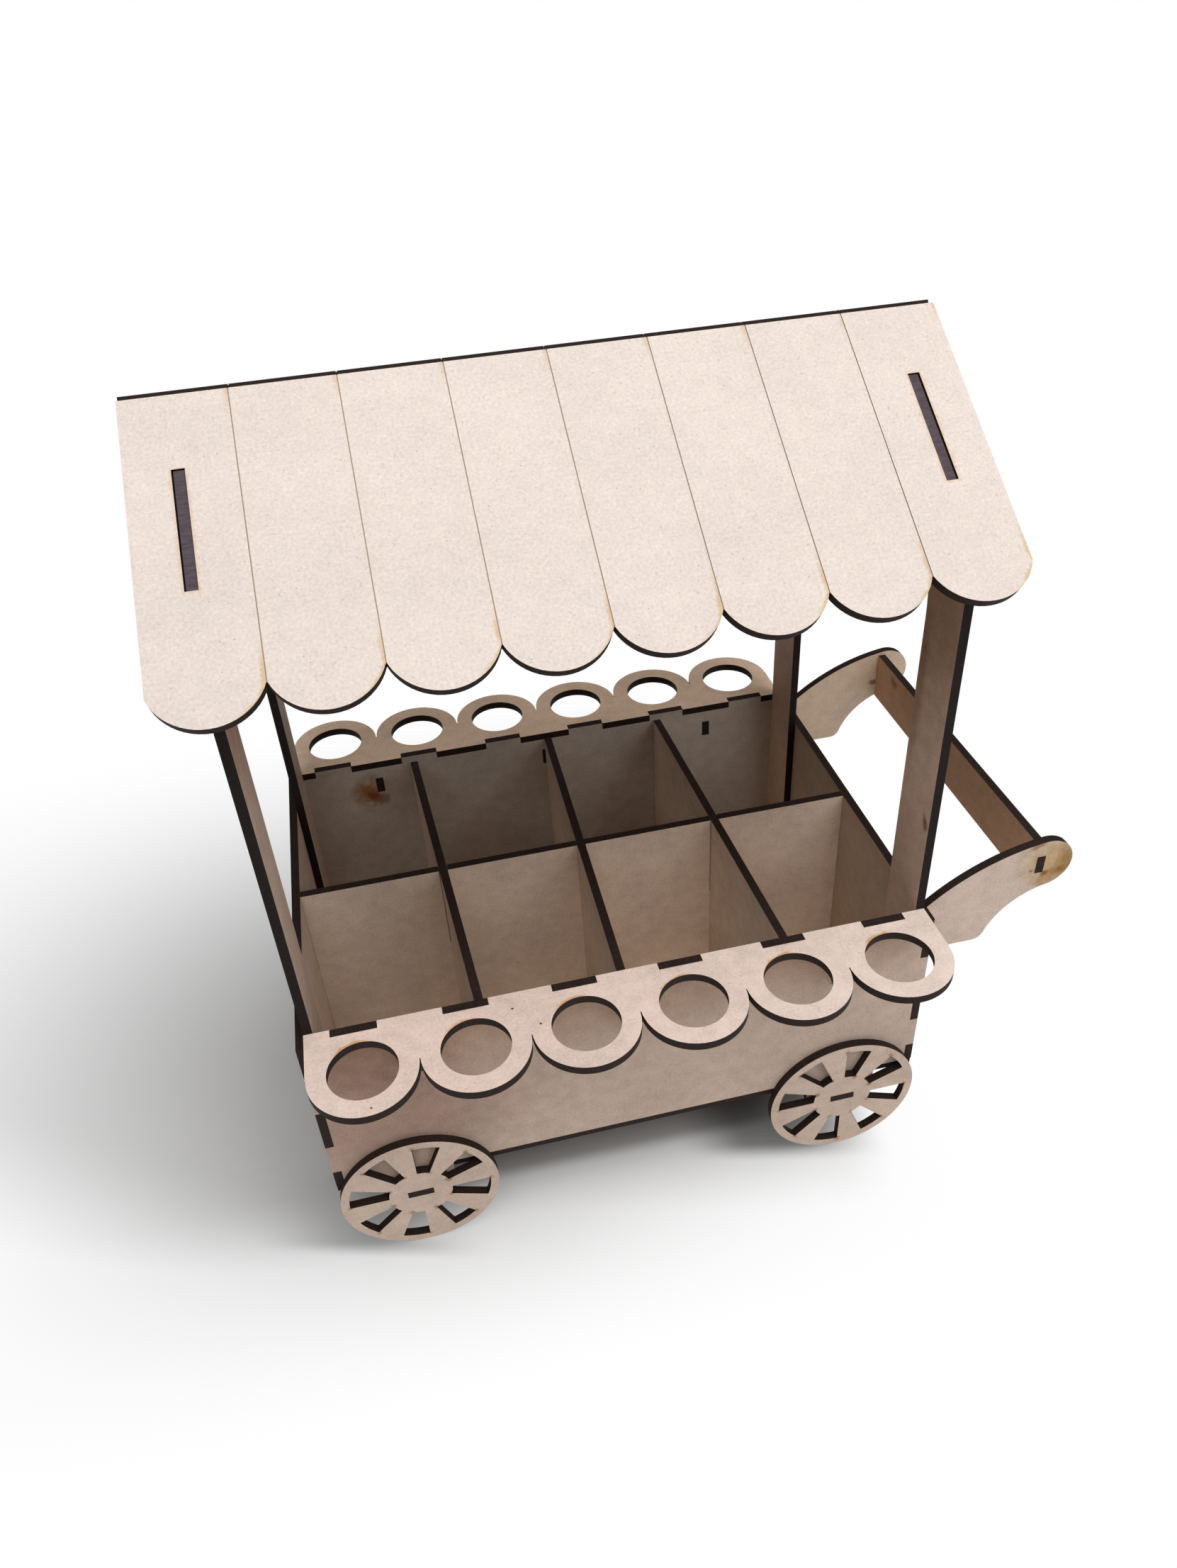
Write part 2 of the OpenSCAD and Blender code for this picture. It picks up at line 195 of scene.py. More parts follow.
def fibres(tree, board, size, long, wide, share):
    """Loose fibres that show on the face: in each cell of a net of this size one thin ellipse, turned
    by the cell's own random angle and drawn only in this share of the cells. All sizes in millimetres."""
    net = add(tree, "TexVoronoi", {"Vector": board, "Scale": 1 / size}, out=None, voronoi_dimensions="2D")
    chance = add(tree, "SeparateColor", (net["Color"],), out=None)
    away = add(tree, "VectorMath", (board, net["Position"]), operation="SUBTRACT")
    angle = add(tree, "Math", (chance[0], math.tau), operation="MULTIPLY")
    turned = add(tree, "VectorRotate", {"Vector": away, "Angle": angle}, rotation_type="Z_AXIS")
    ellipse = add(tree, "VectorMath", (turned, (2 / long, 2 / wide, 0)), operation="MULTIPLY")
    reach = add(tree, "VectorMath", (ellipse,), out="Value", operation="LENGTH")
    inside = add(tree, "MapRange", (reach, 1.0, 0.5), interpolation_type="SMOOTHSTEP")
    drawn = add(tree, "Math", (chance[1], share), operation="LESS_THAN")
    return add(tree, "Math", (inside, drawn), operation="MULTIPLY")


def spot(tree, board, rough, centre, radii, turn):
    """A soft ellipse on the outer face, 1 in the middle and 0 at its rim, which is ragged. It reaches
    through only part of the board, so the back of the board stays clean. The rim strays by up to about
    2 mm, also on a large ellipse."""
    place = add(tree, "Mapping", {"Vector": board, "Location": (centre[0], centre[1], 0),
                                  "Rotation": (0, 0, turn), "Scale": (radii[0], radii[1], MARK_DEPTH_MM)},
                vector_type="TEXTURE")
    reach = add(tree, "VectorMath", (place,), out="Value", operation="LENGTH")
    return haze(tree, rough, 1.6 * min(1.0, 6.0 / max(radii)), reach, (1.2, 0.2))


def roof_smoke(tree, board, rough, face):
    """The laser's smoke on a roof board, to the left of where the beam ran. part goes from 0 to 1 over a
    stripe, right is the distance to the score line on its right, down the distance from the ridge, and
    rim the distance inside the scallop: its circle's radius less the distance to the circle's centre."""
    radius = ((STRIPE_MM / 2) ** 2 + SCALLOP_MM ** 2) / (2 * SCALLOP_MM)
    sunk = ROOF_DROP_MM + SCALLOP_MM - radius
    u, v, depth = add(tree, "SeparateXYZ", (board,), out=None)
    stripe = add(tree, "Math", (u, 1 / STRIPE_MM), operation="MULTIPLY")
    part = add(tree, "Math", (stripe,), operation="FRACT")
    down = add(tree, "Math", (v, -1.0), operation="MULTIPLY")
    right = add(tree, "Math", (part, -STRIPE_MM, STRIPE_MM), operation="MULTIPLY_ADD")

    # Along the score line, at the ridge and above the cusp between two scallops
    ridge_fade = add(tree, "MapRange", (down, *RIDGE_SMOKE_DOWN), interpolation_type="SMOOTHSTEP")
    ridge = add(tree, "Math", (haze(tree, rough, 2.0, right, RIDGE_SMOKE), ridge_fade), operation="MULTIPLY")
    cusp_fade = add(tree, "MapRange", (down, *CUSP_SMOKE_DOWN), interpolation_type="SMOOTHSTEP")
    cusp = add(tree, "Math", (haze(tree, rough, 2.0, right, CUSP_SMOKE), cusp_fade), operation="MULTIPLY")

    # Along the right half of the scallop's rim
    side = add(tree, "Math", (part, STRIPE_MM, -STRIPE_MM / 2), operation="MULTIPLY_ADD")
    below = add(tree, "Math", (down, sunk), operation="SUBTRACT")
    rim = add(tree, "Math", (radius, distance(tree, side, below)), operation="SUBTRACT")
    side_fade = add(tree, "MapRange", (side, *RIM_SMOKE_SIDE), interpolation_type="SMOOTHSTEP")
    curve = add(tree, "Math", (haze(tree, rough, 2.0, rim, RIM_SMOKE), side_fade), operation="MULTIPLY")
    down_fade = add(tree, "MapRange", (down, *RIM_SMOKE_DOWN), interpolation_type="SMOOTHSTEP")
    curve = add(tree, "Math", (curve, down_fade), operation="MULTIPLY")
    low = add(tree, "Math", (cusp, curve), operation="MAXIMUM")

    # Round a slot: how far a point lies past its sides and past its ends
    aside = add(tree, "Math", (u,), operation="ABSOLUTE")
    aside = add(tree, "Math", (aside, -SLOT_X_MM), operation="ADD")
    aside = add(tree, "Math", (aside,), operation="ABSOLUTE")
    aside = add(tree, "Math", (aside, SLOT_HALF_MM), operation="SUBTRACT")
    beyond = add(tree, "Math", (down, -(SLOT_FROM_MM + SLOT_TO_MM) / 2), operation="ADD")
    beyond = add(tree, "Math", (beyond,), operation="ABSOLUTE")
    beyond = add(tree, "Math", (beyond, (SLOT_TO_MM - SLOT_FROM_MM) / 2), operation="SUBTRACT")
    outside = add(tree, "Math", (aside, beyond), operation="MAXIMUM")
    slot = haze(tree, rough, 2.4, outside, SLOT_SMOKE)

    face = stain_and_shade(tree, face, ridge, 0.6, "F3D9B2")
    face = stain_and_shade(tree, face, low, 0.75, "EED6A0")
    face = stain_and_shade(tree, face, slot, 0.45, "F6DCB4")
    # The floor of a score line is brown, and lies under the face
    scored = add(tree, "Math", (depth, -SCORE_DEPTH_MM, 0.1), operation="COMPARE")
    floor = scaled(bpy.context.scene.cart_finish.scored, 1)
    return add(tree, "Mix", {0: scored, 6: face, 7: floor}, out=2, data_type="RGBA")


def cup_smoke(tree, board, rough, face):
    """A tan half-moon behind each cup hole, where the beam entered: it lies within about a millimetre of
    the hole's rim and where the way from the hole's centre points back and a little left."""
    u, v, _ = add(tree, "SeparateXYZ", (board,), out=None)
    lobe = add(tree, "Math", (u, 1 / CUP_PITCH_MM), operation="MULTIPLY")
    part = add(tree, "Math", (lobe,), operation="FRACT")
    side = add(tree, "Math", (part, CUP_PITCH_MM, -CUP_PITCH_MM / 2), operation="MULTIPLY_ADD")
    back = add(tree, "Math", (v, LOBE_R_MM), operation="SUBTRACT")
    reach = distance(tree, side, back)
    leaning = add(tree, "Math", (side, -0.35, back), operation="MULTIPLY_ADD")
    heading = add(tree, "Math", (leaning, reach), operation="DIVIDE")
    behind = add(tree, "MapRange", (heading, *CUP_HEADING), interpolation_type="SMOOTHSTEP")
    moon = add(tree, "Math", (haze(tree, rough, 2.4, reach, CUP_SMOKE), behind), operation="MULTIPLY")
    return stain_and_shade(tree, face, moon, 1.0, "EDCB9A")


def wheel_smoke(tree, board, rough, face):
    """Brown corners on the windows of a wheel. way is how far round the wheel a point lies from the
    nearest whole spoke step, from 0 to a half, so a window's outer burnt corner is at way 0 and its
    inner one at way a half."""
    u, v, _ = add(tree, "SeparateXYZ", (board,), out=None)
    up = add(tree, "Math", (v, WHEEL_MM / 2), operation="SUBTRACT")
    reach = distance(tree, u, up)
    angle = add(tree, "Math", (up, u), operation="ARCTAN2")
    turn = add(tree, "Math", (angle, SPOKES / math.tau), operation="MULTIPLY")
    way = add(tree, "Math", (turn, 0.5), operation="PINGPONG")
    half = add(tree, "Math", (0.5, way), operation="SUBTRACT")
    step = math.tau / SPOKES
    outer = distance(tree, add(tree, "Math", (way, step * WINDOW_OUT_MM), operation="MULTIPLY"),
                     add(tree, "Math", (reach, WINDOW_OUT_MM), operation="SUBTRACT"))
    inner = distance(tree, add(tree, "Math", (half, step * WINDOW_IN_MM), operation="MULTIPLY"),
                     add(tree, "Math", (reach, WINDOW_IN_MM), operation="SUBTRACT"))
    nearest = add(tree, "Math", (outer, inner), operation="MINIMUM")
    return stain_and_shade(tree, face, haze(tree, rough, 3.0, nearest, WINDOW_SMOKE), 0.75, "C79E70")


def fibreboard(node, out, base, marks=(), texture=1.15, clouds=0.5, flush=0.12, char=None, smoke=None):
    """Raw 3 mm medium-density fibreboard, pressed and sanded, cut and scored by a laser. The sanded face
    is matt and almost even: faint clouds, short curled fibres lighter or darker than the rest, rare dark
    specks. The laser leaves the edges charred brown-black with fine streaks across the thickness, and
    toasts the score lines and some corners. marks are soft marks on the outer face, stains and some
    painted shade: place, radii in millimetres, turn in degrees, tone and strength. texture says how clearly
    the fibres show, clouds how patchy the board is, flush how pink its blotches are. On the end frames the
    tab ends in the roof's slots get a painted sheen."""
    finish = bpy.context.scene.cart_finish
    origin, u, v, w = board_frame(node, out)
    material = bpy.data.materials.new("fibreboard_" + node)
    material.use_nodes = True
    tree = material.node_tree
    tree.nodes.clear()
    place = add(tree, "TexCoord", out="Object")
    axes = Matrix((u, v, w)).transposed()
    board = add(tree, "Mapping", {"Vector": place, "Location": origin, "Rotation": axes.to_euler(),
                                  "Scale": (MM, MM, MM)}, vector_type="TEXTURE")
    # Boards that lie side by side get different clouds, because each has its own stretch of the pattern
    seed = 40.0 * (list(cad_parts).index(node) + 1)
    own = add(tree, "VectorMath", (board, (seed, -seed, 0)), operation="ADD")

    # Clouds, tufts, and the fibre mat itself, from its largest grains down to a sixteenth of them
    cloud = add(tree, "TexNoise", {"Vector": own, "Scale": 1 / finish.cloud_width, "Detail": 2})
    tuft = add(tree, "TexNoise", {"Vector": own, "Scale": 1 / TUFT_MM, "Detail": 3})
    mat = add(tree, "TexNoise", {"Vector": own, "Scale": 1 / finish.grain, "Detail": 4, "Roughness": 0.75})
    patchy = add(tree, "Math", (cloud, clouds, -clouds), operation="MULTIPLY_ADD")
    patchy = add(tree, "Math", (tuft, clouds, patchy), operation="MULTIPLY_ADD")
    light = add(tree, "Math", (mat, patchy), operation="ADD")
    depth = finish.contrast * texture
    face = add(tree, "Mix", {0: light, 6: scaled(base, 1 - depth), 7: scaled(base, 1 + depth)},
               out=2, data_type="RGBA", clamp_factor=False)
    # Blotches a finger wide, slightly pinker than the rest, from bark and resin in the pulp
    blotch = add(tree, "TexNoise", {"Vector": own, "Scale": 1 / BLOTCH_MM, "Detail": 1})
    blotch = add(tree, "MapRange", (blotch, 0.42, 0.62), interpolation_type="SMOOTHSTEP")
    face = stain_and_shade(tree, face, blotch, flush, "FFF7F3")

    # Curled fibres: the net is bent by a noise, so the strokes in it are bent too
    bend = add(tree, "TexNoise", {"Vector": own, "Scale": 1 / BEND_MM, "Detail": 0}, out="Color")
    bent = add(tree, "VectorMath", (bend, (BEND_BY_MM, BEND_BY_MM, 0), own), operation="MULTIPLY_ADD")
    pale = add(tree, "Math", (fibres(tree, bent, *PALE_FIBRES), 0.4 * texture), operation="MULTIPLY")
    face = add(tree, "Mix", {0: pale, 6: face, 7: scaled(base, 1.18)}, out=2, data_type="RGBA")
    face = stain_and_shade(tree, face, fibres(tree, bent, *DARK_FIBRES), 0.19 * texture, "8F7D70")
    face = stain_and_shade(tree, face, fibres(tree, own, *SPECKS), 0.55, "7A675B")

    rough = add(tree, "Math", (tuft, 0.5), operation="SUBTRACT")
    if smoke:
        face = smoke(tree, board, rough, face)
    for point, radii, turn, mark_tone, strength in marks:
        off = point - origin
        mask = spot(tree, board, rough, (off.dot(u) / MM, off.dot(v) / MM), radii, math.radians(turn))
        face = stain_and_shade(tree, face, mask, strength, mark_tone)

    # Fine streaks run across the thickness, because the beam cuts in pulses
    along = add(tree, "VectorMath", (own, STREAKS), operation="MULTIPLY")
    streak = add(tree, "TexNoise", {"Vector": along, "Scale": 1, "Detail": 3})
    streak = add(tree, "MapRange", (streak, 0.3, 0.75), interpolation_type="SMOOTHSTEP")
    burnt = char or finish.char
    edge = add(tree, "Mix", {0: streak, 6: scaled(burnt, 0.75), 7: scaled(burnt, 1.3)},
               out=2, data_type="RGBA")
    normal = add(tree, "NewGeometry", out="True Normal")
    if "frame" in node:
        # The ends of the tabs in the roof's slots lie in the roof's slope and get a painted sheen: they are
        # painted paler, as if they caught the softboxes' light
        slope = add(tree, "VectorMath", (normal,), operation="ABSOLUTE")
        slope = add(tree, "VectorMath", (slope, ROOF_NORMAL), out="Value", operation="DOT_PRODUCT")
        sloping = add(tree, "Math", (slope, SLOPE_SHARE), operation="GREATER_THAN")
        tab_sheen = add(tree, "Mix", {0: streak, 6: scaled(finish.tab_sheen, 1.25), 7: scaled(finish.tab_sheen, 0.8)},
                  out=2, data_type="RGBA")
        edge = add(tree, "Mix", {0: sloping, 6: edge, 7: tab_sheen}, out=2, data_type="RGBA")
    facing = add(tree, "VectorMath", (normal, tuple(w)), out="Value", operation="DOT_PRODUCT")
    facing = add(tree, "Math", (facing,), operation="ABSOLUTE")
    on_face = add(tree, "Math", (facing, FACE_SHARE), operation="GREATER_THAN")
    colour = add(tree, "Mix", {0: on_face, 6: edge, 7: face}, out=2, data_type="RGBA")
    relief = add(tree, "Bump", {"Height": mat, "Strength": 0.6, "Distance": RELIEF_MM * MM})
    shader = add(tree, "BsdfPrincipled", {"Base Color": colour, "Roughness": 0.78,
                                          "Specular IOR Level": 0.25, "Normal": relief})
    add(tree, "OutputMaterial", {"Surface": shader}, out=None)
    return material


def dress(node, *args, **kwargs):
    """Gives a board its finish in every material slot of its object."""
    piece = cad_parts[node]
    material = fibreboard(node, *args, **kwargs)
    if not piece.material_slots:
        piece.data.materials.append(material)
    for place in piece.material_slots:
        place.material = material


def tone(name, description, code):
    """A colour property whose default is written as sRGB hex."""
    return FloatVectorProperty(name=name, description=description, subtype="COLOR", size=3, min=0, max=1,
                               default=srgb(code)[:3])


class CartFinish(bpy.types.PropertyGroup):
    """What a maker would change about the boards."""
    contrast: FloatProperty(name="Contrast", description="How far the fibre mat strays from its mean tone",
                            subtype="FACTOR", min=0, max=0.6, default=0.30)
    grain: FloatProperty(name="Grain", description="Width in millimetres of the largest grains of the mat",
                         min=0.2, max=5, default=0.9)
    cloud_width: FloatProperty(name="Cloud width", description="Width in millimetres of the largest clouds",
                               min=5, max=100, default=26)
    front_roof: tone("Front roof", "Sanded face of the front roof board", "EFE1D7")
    back_roof: tone("Back roof", "Sanded face of the back roof board", "E9DBD2")
    left_frame: tone("Left frame", "Sanded face of the left end frame", "D1BAA9")
    right_frame: tone("Right frame", "Sanded face of the right end frame", "D5B9A5")
    front_wall: tone("Front wall", "Sanded face of the front wall", "E3CCBA")
    back_wall: tone("Back wall", "Sanded face of the back wall", "C9BDB1")
    left_wall: tone("Left wall", "Sanded face of the left end wall", "DCC6B3")
    right_wall: tone("Right wall", "Sanded face of the right end wall", "C6B19C")
    inside: tone("Inside", "Sanded faces of the floor board and the cross dividers", "DCC8B6")
    long_divider: tone("Long divider", "Sanded face of the long divider", "FDE7D2")
    front_shelf: tone("Front shelf", "Sanded face of the front cup shelf", "FFECDE")
    back_shelf: tone("Back shelf", "Sanded face of the back cup shelf", "F2D3B8")
    small_parts: tone("Small parts", "Sanded faces of the shelf brackets and axle boards", "DCC4B0")
    front_arm: tone("Front arm", "Sanded face of the front handle arm", "EDD7C7")
    back_arm: tone("Back arm", "Sanded face of the back handle arm", "EBD4BC")
    bar: tone("Bar", "Sanded face of the handle bar", "CCA88A")
    wheels: tone("Wheels", "Sanded faces of the wheels", "ECD4C1")
    char: tone("Char", "Burnt edges, where the laser cut through", "2D201B")
    frame_char: tone("Frame char", "Burnt edges of the two end frames", "1F1613")
    # Painted sheen: the pale tone of the tab ends stands in for the softboxes' light that they catch
    tab_sheen: tone("Ash", "Tab ends in the roof's slots, paler with ash", "564B51")
    scored: tone("Scored", "Floors of the score lines between the stripes", "CDB29C")


class CartStudio(bpy.types.PropertyGroup):
    """What a maker would change about the studio."""
    paper: tone("Paper", "The backdrop paper as the lamps meet it", "E1E1E1")
    front_power: FloatProperty(name="Front lamp", description="Power of the softbox high over the front",
                               unit="POWER", min=0, default=6.6)
    right_power: FloatProperty(name="Right lamp", description="Power of the softbox at the front right",
                               unit="POWER", min=0, default=4.1)
    low_power: FloatProperty(name="Low lamp", description="Power of the low softbox at the front right",
                             unit="POWER", min=0, default=1.6)
    left_power: FloatProperty(name="Left lamp", description="Power of the softbox at the front left",
                              unit="POWER", min=0, default=2.6)
    back_power: FloatProperty(name="Back lamp", description="Power of the softbox high over the back",
                              unit="POWER", min=0, default=3.3)
    lamp_size: FloatProperty(name="Lamp size", description="Width of each softbox", unit="LENGTH", min=0.1,
                             default=0.9)
    lamp_distance: FloatProperty(name="Lamp distance", description="From the middle of the cart to a softbox",
                                 unit="LENGTH", min=0.5, default=1.3)
    lens: FloatProperty(name="Lens", description="Focal length of the camera in millimetres", unit="CAMERA",
                        min=10, default=26.453)


class DressRoof(bpy.types.Operator):
    """Finishes the two striped roof boards"""
    bl_idname = "cart.dress_roof"
    bl_label = "Roof"

    def execute(self, context):
        finish = context.scene.cart_finish
        dress("front_roof", FRONT, finish.front_roof, texture=1.15, clouds=0.2, flush=0.03, smoke=roof_smoke)
        dress("back_roof", BACK, finish.back_roof, texture=1.15, clouds=0.2, flush=0.03, smoke=roof_smoke)
        return {"FINISHED"}


class DressFrames(bpy.types.Operator):
    """Finishes the two end frames that carry the roof"""
    bl_idname = "cart.dress_frames"
    bl_label = "End frames"

    def execute(self, context):
        finish = context.scene.cart_finish
        dress("left_end_frame", RIGHT, finish.left_frame, char=finish.frame_char,
              # A broad soft mark darkens the post towards its top, under the roof
              marks=[(at(-101, -56, 232), (40, 38), 0, "DECEC3", 1.0)])
        dress("right_end_frame", LEFT, finish.right_frame, char=finish.frame_char,
              marks=[(at(101, -66.7, 149.2), (1.7, 4.4), 20, "9C6C46", 0.8),
                     # Painted shade: this broad mark darkens the top of the post, where the roof shades it
                     (at(101, -56, 228), (40, 55), 0, "BAAE9A", 0.9),
                     (at(101, -51, 190), (4.5, 35), 0, "D8CCC4", 1.0),
                     (at(101, -46.5, 178), (2.2, 7), 0, "9A7A62", 0.6),
                     (at(101, -45.0, 167), (1.6, 5), 0, "A08068", 0.6),
                     (at(101, -48.0, 148), (1.4, 8), 0, "A98A74", 0.6),
                     (at(101, -49.0, 122), (1.3, 3), 0, "7A6050", 0.6)])
        return {"FINISHED"}


class DressBox(bpy.types.Operator):
    """Finishes the four walls of the box"""
    bl_idname = "cart.dress_box"
    bl_label = "Box"

    def execute(self, context):
        finish = context.scene.cart_finish
        dress("front_wall", FRONT, finish.front_wall, flush=0.25, marks=[
            # Painted shade: these three marks darken the wall under the shelf, along its length and most on
            # the left, where the shelf shades it
            (at(-85, -72.5, 98), (30, 22), 0, "D2C0BA", 0.8),
            (at(-86, -72.5, 68), (62, 34), 0, "DAC8C5", 0.9),
            (at(0, -72.5, 104), (150, 22), 0, "E8DDD6", 1.0)])
        dress("back_wall", FRONT, finish.back_wall, marks=[
            (at(-76, 69.5, 98.5), (8.5, 8.5), 0, "CE9258", 0.95),
            (at(-73, 69.5, 94.5), (5, 4), 0, "C08B60", 0.8)])
        dress("left_end_wall", RIGHT, finish.left_wall)
        dress("right_end_wall", LEFT, finish.right_wall)
        return {"FINISHED"}


class DressInside(bpy.types.Operator):
    """Finishes the floor board and the crossed dividers"""
    bl_idname = "cart.dress_inside"
    bl_label = "Dividers and floor"

    def execute(self, context):
        finish = context.scene.cart_finish
        dress("floor_board", UP, finish.inside)
        # Painted shade: a broad mark darkens the long divider towards its left, standing in for the lamps'
        # light falling from the right
        painted_left_shade = (at(-90, 0, 74), (110, 150), 0, "EBEDED", 1.0)
        dress("long_divider", FRONT, finish.long_divider, [painted_left_shade])
        for node in ("left_divider", "middle_divider", "right_divider"):
            dress(node, LEFT, finish.inside)
        return {"FINISHED"}


class DressShelves(bpy.types.Operator):
    """Finishes the cup shelves and the brackets under them"""
    bl_idname = "cart.dress_shelves"
    bl_label = "Cup shelves"

    def execute(self, context):
        finish = context.scene.cart_finish
        specks = [(at(x, y, WALL_TOP / MM + 3), (0.5, 0.42), 0, "3A2C26", 1.0)
                  for x, y in ((-85.1, -102.4), (-38.8, -76.1), (-31.2, -84.4))]
        # Painted shade: a broad mark darkens the shelf towards its left end, standing in for the lamps' light
        # falling from the right
        painted_left_shade = (at(-70, -90, WALL_TOP / MM + 3), (170, 90), 0, "F8F2F2", 1.0)
        dress("front_shelf", UP, finish.front_shelf, [painted_left_shade] + specks, smoke=cup_smoke)
        dress("back_shelf", UP, finish.back_shelf)
        for side in ("front", "back"):
            for place in ("left", "middle", "right"):
                dress(side + "_" + place + "_bracket", LEFT, finish.small_parts)
        return {"FINISHED"}


class DressHandle(bpy.types.Operator):
    """Finishes the push handle"""
    bl_idname = "cart.dress_handle"
    bl_label = "Push handle"

    def execute(self, context):
        finish = context.scene.cart_finish
        scorched = [
            (at(151, -66.5, 120), (12, 13), 0, "EFE0B4", 0.9),
            (at(157.5, -66.5, 119), (5, 10), 0, "CDB081", 0.9),
            (at(153, -66.5, 113), (6, 4), 20, "DDBC8C", 0.7),
            (at(145.4, -66.5, 128.6), (3.5, 2.2), 10, "B79A70", 0.8),
            (at(149.4, -66.5, 115.0), (2.0, 1.6), 0, "9A7852", 0.8),
            (at(144.6, -66.5, 117.2), (1.3, 1.1), 0, "8E7256", 0.7)]
        dress("front_handle_arm", FRONT, finish.front_arm, scorched)
        dress("back_handle_arm", FRONT, finish.back_arm,
              [(at(144.8, 63.5, 114.6), (2.8, 1.5), 0, "A0714E", 0.8)])
        dress("handle_bar", LEFT, finish.bar, [(at(146, 46.9, 123.4), (3.5, 2.4), 0, "A87A5E", 0.6)])
        return {"FINISHED"}


class DressWheels(bpy.types.Operator):
    """Finishes the wheels and the axle boards"""
    bl_idname = "cart.dress_wheels"
    bl_label = "Wheels"

    def execute(self, context):
        finish = context.scene.cart_finish
        for side, out in (("front", FRONT), ("back", BACK)):
            for place in ("left", "right"):
                dress(side + "_" + place + "_wheel", out, finish.wheels, smoke=wheel_smoke)
        for place in ("left", "right"):
            dress(place + "_axle_board", UP, finish.small_parts)
        return {"FINISHED"}


def studio_floor(radius):
    """A flat round floor: ring r of the grid has the radius radius * r / rings, spoke a the angle
    2 pi a / spokes, and every point lies at z = 0."""
    rings, spokes = 24, 96
    r, a = np.meshgrid(np.arange(1, rings + 1) / rings * radius, np.arange(spokes) / spokes * math.tau,
                       indexing="ij")
    points = np.stack([r * np.cos(a), r * np.sin(a), np.zeros_like(r)], axis=-1).reshape(-1, 3)
    i, j = np.meshgrid(np.arange(rings - 1), np.arange(spokes), indexing="ij")
    k = (j + 1) % spokes
    quads = np.stack([i * spokes + j, (i + 1) * spokes + j, (i + 1) * spokes + k, i * spokes + k], axis=-1)
    mesh = bpy.data.meshes.new("studio_floor")
    mesh.from_pydata(points.tolist(), [], quads.reshape(-1, 4).tolist() + [list(range(spokes))])
    floor = bpy.data.objects.new("studio_floor", mesh)
    bpy.context.scene.collection.objects.link(floor)
    return floor


def plateau(tree, value, ends):
    """1 between the inner two of four ends and 0 outside the outer two, with smooth steps between."""
    start = add(tree, "MapRange", (value, ends[0], ends[1]), interpolation_type="SMOOTHSTEP")
    stop = add(tree, "MapRange", (value, ends[3], ends[2]), interpolation_type="SMOOTHSTEP")
    return add(tree, "Math", (start, stop), operation="MULTIPLY")


def shade(tree, x, y, strength, across, along, slant, front):
    """A soft patch on the paper: a plateau over x times one over y, with a front edge that runs aslant."""
    patch = add(tree, "Math", (plateau(tree, x, across), plateau(tree, y, along)), operation="MULTIPLY")
    ahead = add(tree, "Math", (x, slant, y), operation="MULTIPLY_ADD")
    ahead = add(tree, "MapRange", (ahead, *front), interpolation_type="SMOOTHSTEP")
    patch = add(tree, "Math", (patch, ahead), operation="MULTIPLY")
    return add(tree, "Math", (patch, strength), operation="MULTIPLY")


def backdrop_paper():
    """Matt white paper. Where the cart's shadow falls, under it and out to its left, the paper is seen as it
    is lit, painted somewhat darker to the camera, and everywhere else it is pure white to the camera.
    Under and between the wheels, painted shadows darken it."""
    paper = bpy.data.materials.new("backdrop_paper")
    paper.use_nodes = True
    tree = paper.node_tree
    tree.nodes.clear()
    place = add(tree, "TexCoord", out="Object")
    place = add(tree, "Mapping", {"Vector": place, "Location": (BOX_X, 0, 0), "Scale": (MM, MM, MM)},
                vector_type="TEXTURE")
    x, y, _ = add(tree, "SeparateXYZ", (place,), out=None)
    shadow = add(tree, "Math", (shade(tree, x, y, *LEFT_SHADE), shade(tree, x, y, *UNDER_SHADE)),
                 operation="MAXIMUM")
    # Painted shadows: where a wheel stands and between the wheels, where hardly any light gets in, the paper
    # is painted darker, both as lit and as pure white
    light = 1.0
    for contact in (LEFT_WHEEL_SHADE, RIGHT_WHEEL_SHADE, MIDDLE_SHADE):
        left = add(tree, "Math", (1.0, shade(tree, x, y, *contact)), operation="SUBTRACT")
        light = add(tree, "Math", (light, left), operation="MULTIPLY")
    rays = add(tree, "LightPath", out=None)
    seen = add(tree, "Math", (rays["Is Camera Ray"], rays["Is Glossy Ray"]), operation="MAXIMUM")
    seen = add(tree, "Math", (seen, rays["Is Transmission Ray"]), operation="MAXIMUM")
    open_paper = add(tree, "Math", (1.0, shadow), operation="SUBTRACT")
    white = add(tree, "Math", (seen, open_paper), operation="MULTIPLY")
    pale = bpy.context.scene.cart_studio.paper
    shaded = add(tree, "Mix", {0: light, 6: (0, 0, 0, 1), 7: scaled(pale, SHADED_PAPER)},
                 out=2, data_type="RGBA")
    shaded = add(tree, "Mix", {0: seen, 6: scaled(pale, 1), 7: shaded}, out=2, data_type="RGBA")
    lit = add(tree, "BsdfPrincipled", {"Base Color": shaded, "Roughness": 0.9, "Specular IOR Level": 0.0})
    pure = add(tree, "Emission", {"Color": (1, 1, 1, 1), "Strength": light})
    both = add(tree, "MixShader", (white, lit, pure))
    add(tree, "OutputMaterial", {"Surface": both}, out=None)
    return paper


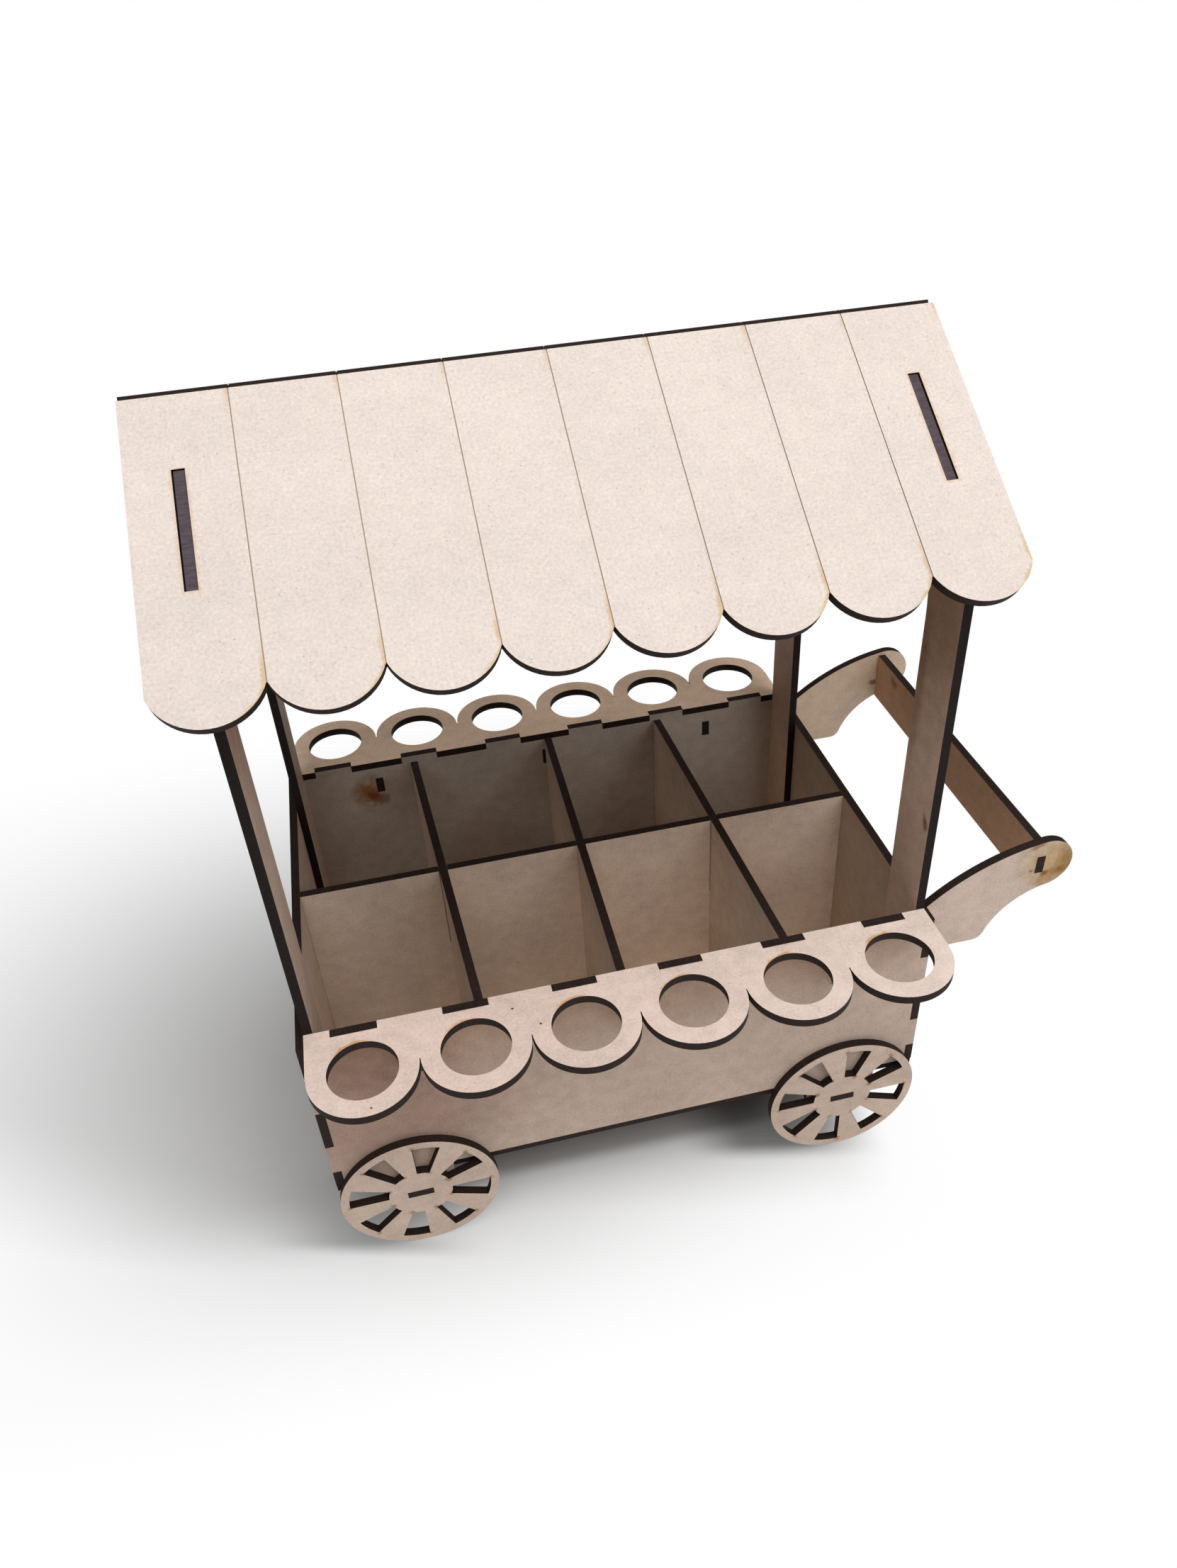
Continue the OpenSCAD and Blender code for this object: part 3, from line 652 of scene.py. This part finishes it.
class SetStudio(bpy.types.Operator):
    """Sets the floor, the softboxes, the white surround and the camera"""
    bl_idname = "cart.set_studio"
    bl_label = "Studio"

    def execute(self, context):
        studio = context.scene.cart_studio
        studio_floor(FLOOR_RADIUS).data.materials.append(backdrop_paper())

        # The surround is white to the camera and almost dark to the cart
        world = bpy.data.worlds.new("white_surround")
        context.scene.world = world
        world.use_nodes = True
        tree = world.node_tree
        tree.nodes.clear()
        rays = add(tree, "LightPath", out=None)
        seen = add(tree, "Math", (rays["Is Camera Ray"], rays["Is Transmission Ray"]), operation="MAXIMUM")
        strength = add(tree, "MapRange", {0: seen, 3: 0.015, 4: 1.0})
        glow = add(tree, "Background", {"Color": (1, 1, 1, 1), "Strength": strength})
        add(tree, "OutputWorld", {"Surface": glow}, out=None)

        aim = Vector((BOX_X, 0, WALL_TOP))
        for name, power, azimuth, height in SOFTBOXES:
            lamp = bpy.data.lights.new(name, "AREA")
            lamp.shape = "DISK"
            lamp.size = studio.lamp_size
            lamp.energy = getattr(studio, power)
            a, h = math.radians(azimuth), math.radians(height)
            way = Vector((math.sin(a) * math.cos(h), -math.cos(a) * math.cos(h), math.sin(h)))
            holder = bpy.data.objects.new(name, lamp)
            turned = (-way).to_track_quat("-Z", "Y").to_matrix().to_4x4()
            holder.matrix_world = Matrix.Translation(aim + way * studio.lamp_distance) @ turned
            context.scene.collection.objects.link(holder)

        camera = bpy.data.cameras.new("camera")
        camera.lens = studio.lens
        camera.sensor_width = 36
        camera.shift_x, camera.shift_y = CAMERA_SHIFT
        camera.clip_start, camera.clip_end = 0.01, 20
        holder = bpy.data.objects.new("camera", camera)
        right, ahead = Vector(CAMERA_RIGHT), Vector(CAMERA_AHEAD)
        pose = Matrix((right, right.cross(ahead), -ahead)).transposed().to_4x4()
        pose.translation = at(*CAMERA_MM)
        holder.matrix_world = pose
        context.scene.collection.objects.link(holder)
        context.scene.camera = holder
        context.scene.view_settings.view_transform = "Standard"
        return {"FINISHED"}


OPERATORS = (DressRoof, DressFrames, DressBox, DressInside, DressShelves, DressHandle, DressWheels, SetStudio)


class CartPanel(bpy.types.Panel):
    """Lists what the finish is made of"""
    bl_idname = "VIEW3D_PT_candy_cart"
    bl_label = "Candy cart"
    bl_space_type = "VIEW_3D"
    bl_region_type = "UI"
    bl_category = "Candy cart"

    def draw(self, context):
        for group in (context.scene.cart_finish, context.scene.cart_studio):
            for name in group.bl_rna.properties.keys():
                if name not in ("rna_type", "name"):
                    self.layout.prop(group, name)
        for operator in OPERATORS:
            self.layout.operator(operator.bl_idname)


CLASSES = (CartFinish, CartStudio) + OPERATORS + (CartPanel,)


def register():
    for item in CLASSES:
        bpy.utils.register_class(item)
    bpy.types.Scene.cart_finish = PointerProperty(type=CartFinish)
    bpy.types.Scene.cart_studio = PointerProperty(type=CartStudio)


def unregister():
    del bpy.types.Scene.cart_studio
    del bpy.types.Scene.cart_finish
    for item in reversed(CLASSES):
        bpy.utils.unregister_class(item)


def main():
    register()
    for operator in OPERATORS:
        group, name = operator.bl_idname.split(".")
        getattr(getattr(bpy.ops, group), name)()


if __name__ == "__main__":
    main()
